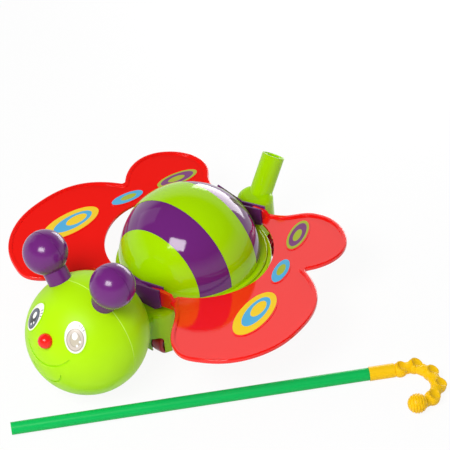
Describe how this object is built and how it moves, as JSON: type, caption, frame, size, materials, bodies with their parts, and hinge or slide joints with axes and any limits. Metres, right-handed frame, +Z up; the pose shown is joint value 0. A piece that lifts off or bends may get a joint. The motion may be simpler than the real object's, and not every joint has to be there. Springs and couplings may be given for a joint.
{
  "type": "push toy",
  "caption": "Moulded winged push-along toy with a ball head, banded round back, flapping spotted wings, wheels, and its separate hook-handled push stick.",
  "frame": {"origin": "bottom centre of the whole set's bounding box, on the floor", "axes": "+X to the toy's right, +Y from its head to its stick socket, +Z up"},
  "size_m": [0.4398, 0.38, 0.1572],
  "materials": {
    "lime": "gloss",
    "purple": "gloss",
    "red": "high gloss",
    "wheel_red": "satin",
    "print": "printed film",
    "green": "gloss",
    "yellow": "gloss",
    "steel": "drawn wire"
  },
  "bodies": {
    "carrier": {"base_shell": "lime", "bottom_cover": "lime", "dome_shell": "lime", "band_front": "purple", "band_rear": "purple", "head_front": "lime", "head_rear": "lime", "neck_ring": "lime", "nose": "red", "eye_right": "print", "eye_left": "print", "bracket_front": "purple", "bracket_rear": "purple", "socket_collar": "lime", "socket_tube": "lime", "socket_sleeve": "lime", "head_screws": "steel", "dome_screws": "steel", "cover_screws": "steel", "bracket_screws": "steel", "feeler_front_right": "purple", "hinge_pin_front_right": "purple", "feeler_rear_right": "purple", "hinge_pin_rear_right": "purple", "feeler_front_left": "purple", "hinge_pin_front_left": "purple", "feeler_rear_left": "purple", "hinge_pin_rear_left": "purple"},
    "wing_right_body": {"wing_right": "red", "spot_big_right": "print", "spot_small_right": "print", "spot_rear_right": "print"},
    "wing_left_body": {"wing_left": "red", "spot_big_left": "print", "spot_small_left": "print", "spot_rear_left": "print"},
    "lifter_body": {"lifter": "purple"},
    "drive_axle_body": {"crank_axle": "steel", "wheel_front_right": "wheel_red", "wheel_front_left": "wheel_red"},
    "rear_axle_body": {"rear_axle": "steel", "wheel_rear_right": "wheel_red", "wheel_rear_left": "wheel_red"},
    "stick_body": {"stick_tube": "green", "stick_grip": "yellow"}
  },
  "joints": [
    {"name": "wing_right_flap", "type": "hinge", "parent": "carrier", "child": "wing_right_body", "pos_m": [-0.03963, 0.05308, 0.0666], "axis": [0, -1, 0], "range_deg": [-10, 18]},
    {"name": "wing_left_flap", "type": "hinge", "parent": "carrier", "child": "wing_left_body", "pos_m": [-0.07763, 0.05308, 0.0666], "axis": [0, 1, 0], "range_deg": [-10, 18]},
    {"name": "lifter_slide", "type": "slide", "parent": "carrier", "child": "lifter_body", "axis": [0, 0, 1], "range_m": [-0.0036, 0.0021]},
    {"name": "drive_axle_spin", "type": "hinge", "parent": "carrier", "child": "drive_axle_body", "pos_m": [-0.05863, -0.01592, 0.0135], "axis": [1, 0, 0], "continuous": true},
    {"name": "rear_axle_spin", "type": "hinge", "parent": "carrier", "child": "rear_axle_body", "pos_m": [-0.05863, 0.14998, 0.012], "axis": [1, 0, 0], "continuous": true},
    {"name": "stick_pull", "type": "slide", "parent": "carrier", "child": "stick_body", "axis": [0.7478, -0.6639, 0], "range_m": [0, 0.1]}
  ],
  "couplings": [
    {"joint": "wing_left_flap", "follows": "wing_right_flap", "ratio": 1},
    {"joint": "lifter_slide", "follows": "wing_right_flap", "m_per_rad": -0.011}
  ]
}
